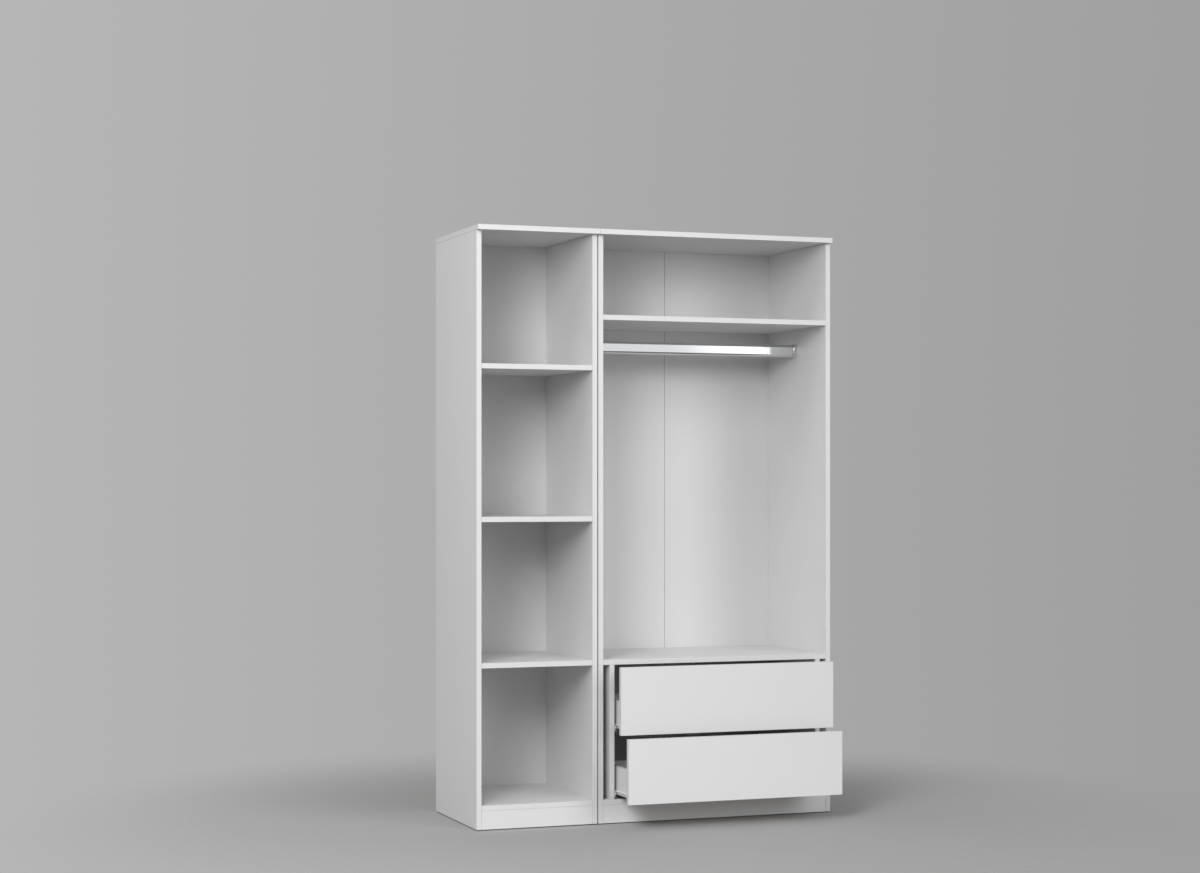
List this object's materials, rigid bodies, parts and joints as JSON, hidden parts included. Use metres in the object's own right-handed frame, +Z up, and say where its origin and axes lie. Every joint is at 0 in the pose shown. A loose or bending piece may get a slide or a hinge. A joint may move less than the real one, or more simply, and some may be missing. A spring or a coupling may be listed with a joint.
{
  "type": "open wardrobe",
  "caption": "Open-front wardrobe of joined white board units: open shelves at the left; hat shelf, hanging rail and part-open drawers on roller runners at the right.",
  "frame": {"origin": "on the floor, at the centre of the bounding box's footprint with the drawers part-way open as built", "axes": "+X to the right for someone facing the open front, +Y towards the back panels, +Z up; the drawers open towards -Y"},
  "size_m": [1.35, 0.6884, 2.096],
  "materials": {
    "white_melamine": "satin white melamine-faced particle board with white edge band",
    "white_hardboard": "white lacquered face, raw brown fibre on the back and edges",
    "chrome": "polished chrome plate",
    "white_steel": "white epoxy powder coat on folded steel",
    "zinc_steel": "bright zinc plate",
    "white_nylon": "moulded nylon",
    "grey_plastic": "moulded dark grey plastic"
  },
  "bodies": {
    "carcass": {"shelf_unit_side_left": "white_melamine", "shelf_unit_side_right": "white_melamine", "shelf_unit_top": "white_melamine", "shelf_unit_bottom": "white_melamine", "shelf_unit_plinth": "white_melamine", "shelf_unit_back": "white_hardboard", "shelf_lower": "white_melamine", "shelf_middle": "white_melamine", "shelf_upper": "white_melamine", "shelf_unit_glide_left_front": "grey_plastic", "shelf_unit_glide_left_rear": "grey_plastic", "shelf_unit_glide_right_front": "grey_plastic", "shelf_unit_glide_right_rear": "grey_plastic", "hanging_unit_side_left": "white_melamine", "hanging_unit_side_right": "white_melamine", "hanging_unit_top": "white_melamine", "hanging_unit_bottom": "white_melamine", "hanging_unit_plinth": "white_melamine", "hanging_unit_back_left": "white_hardboard", "hanging_unit_back_right": "white_hardboard", "hat_shelf": "white_melamine", "drawer_shelf": "white_melamine", "drawer_spacer_left": "white_melamine", "drawer_spacer_right": "white_melamine", "hanging_unit_glide_left_front": "grey_plastic", "hanging_unit_glide_left_rear": "grey_plastic", "hanging_unit_glide_right_front": "grey_plastic", "hanging_unit_glide_right_rear": "grey_plastic", "joining_screw_lower": "zinc_steel", "joining_screw_upper": "zinc_steel", "hanging_rail": "chrome", "rail_socket_left": "chrome", "rail_socket_right": "chrome", "upper_cabinet_runner_left": "white_steel", "upper_cabinet_runner_right": "white_steel", "lower_cabinet_runner_left": "white_steel", "lower_cabinet_runner_right": "white_steel"},
    "upper_drawer": {"upper_drawer_front": "white_melamine", "upper_drawer_side_left": "white_melamine", "upper_drawer_side_right": "white_melamine", "upper_drawer_back": "white_melamine", "upper_drawer_bottom": "white_hardboard", "upper_drawer_runner_left": "white_steel", "upper_drawer_runner_right": "white_steel"},
    "lower_drawer": {"lower_drawer_front": "white_melamine", "lower_drawer_side_left": "white_melamine", "lower_drawer_side_right": "white_melamine", "lower_drawer_back": "white_melamine", "lower_drawer_bottom": "white_hardboard", "lower_drawer_runner_left": "white_steel", "lower_drawer_runner_right": "white_steel"},
    "upper_cabinet_roller_left": {"upper_cabinet_roller_left": "white_nylon"},
    "upper_cabinet_roller_right": {"upper_cabinet_roller_right": "white_nylon"},
    "lower_cabinet_roller_left": {"lower_cabinet_roller_left": "white_nylon"},
    "lower_cabinet_roller_right": {"lower_cabinet_roller_right": "white_nylon"},
    "upper_drawer_roller_left": {"upper_drawer_roller_left": "white_nylon"},
    "upper_drawer_roller_right": {"upper_drawer_roller_right": "white_nylon"},
    "lower_drawer_roller_left": {"lower_drawer_roller_left": "white_nylon"},
    "lower_drawer_roller_right": {"lower_drawer_roller_right": "white_nylon"}
  },
  "joints": [
    {"name": "upper_drawer_slide", "type": "slide", "parent": "carcass", "child": "upper_drawer", "axis": [0, -1, 0], "range_m": [-0.087, 0.173]},
    {"name": "lower_drawer_slide", "type": "slide", "parent": "carcass", "child": "lower_drawer", "axis": [0, -1, 0], "range_m": [-0.161, 0.099]},
    {"name": "upper_cabinet_roller_left_spin", "type": "hinge", "parent": "carcass", "child": "upper_cabinet_roller_left", "pos_m": [-0.1608, -0.15015, 0.339], "axis": [1, 0, 0], "continuous": true},
    {"name": "upper_cabinet_roller_right_spin", "type": "hinge", "parent": "carcass", "child": "upper_cabinet_roller_right", "pos_m": [0.6093, -0.15015, 0.339], "axis": [1, 0, 0], "continuous": true},
    {"name": "lower_cabinet_roller_left_spin", "type": "hinge", "parent": "carcass", "child": "lower_cabinet_roller_left", "pos_m": [-0.1608, -0.15015, 0.105], "axis": [1, 0, 0], "continuous": true},
    {"name": "lower_cabinet_roller_right_spin", "type": "hinge", "parent": "carcass", "child": "lower_cabinet_roller_right", "pos_m": [0.6093, -0.15015, 0.105], "axis": [1, 0, 0], "continuous": true},
    {"name": "upper_drawer_roller_left_spin", "type": "hinge", "parent": "upper_drawer", "child": "upper_drawer_roller_left", "pos_m": [-0.1601, 0.08685, 0.3372], "axis": [1, 0, 0], "continuous": true},
    {"name": "upper_drawer_roller_right_spin", "type": "hinge", "parent": "upper_drawer", "child": "upper_drawer_roller_right", "pos_m": [0.6086, 0.08685, 0.3372], "axis": [1, 0, 0], "continuous": true},
    {"name": "lower_drawer_roller_left_spin", "type": "hinge", "parent": "lower_drawer", "child": "lower_drawer_roller_left", "pos_m": [-0.1601, 0.01285, 0.1032], "axis": [1, 0, 0], "continuous": true},
    {"name": "lower_drawer_roller_right_spin", "type": "hinge", "parent": "lower_drawer", "child": "lower_drawer_roller_right", "pos_m": [0.6086, 0.01285, 0.1032], "axis": [1, 0, 0], "continuous": true}
  ],
  "couplings": [
    {"joint": "upper_cabinet_roller_left_spin", "follows": "upper_drawer_slide", "rad_per_m": 111.11},
    {"joint": "upper_cabinet_roller_right_spin", "follows": "upper_drawer_slide", "rad_per_m": 111.11},
    {"joint": "upper_drawer_roller_left_spin", "follows": "upper_drawer_slide", "rad_per_m": 111.11},
    {"joint": "upper_drawer_roller_right_spin", "follows": "upper_drawer_slide", "rad_per_m": 111.11},
    {"joint": "lower_cabinet_roller_left_spin", "follows": "lower_drawer_slide", "rad_per_m": 111.11},
    {"joint": "lower_cabinet_roller_right_spin", "follows": "lower_drawer_slide", "rad_per_m": 111.11},
    {"joint": "lower_drawer_roller_left_spin", "follows": "lower_drawer_slide", "rad_per_m": 111.11},
    {"joint": "lower_drawer_roller_right_spin", "follows": "lower_drawer_slide", "rad_per_m": 111.11}
  ]
}
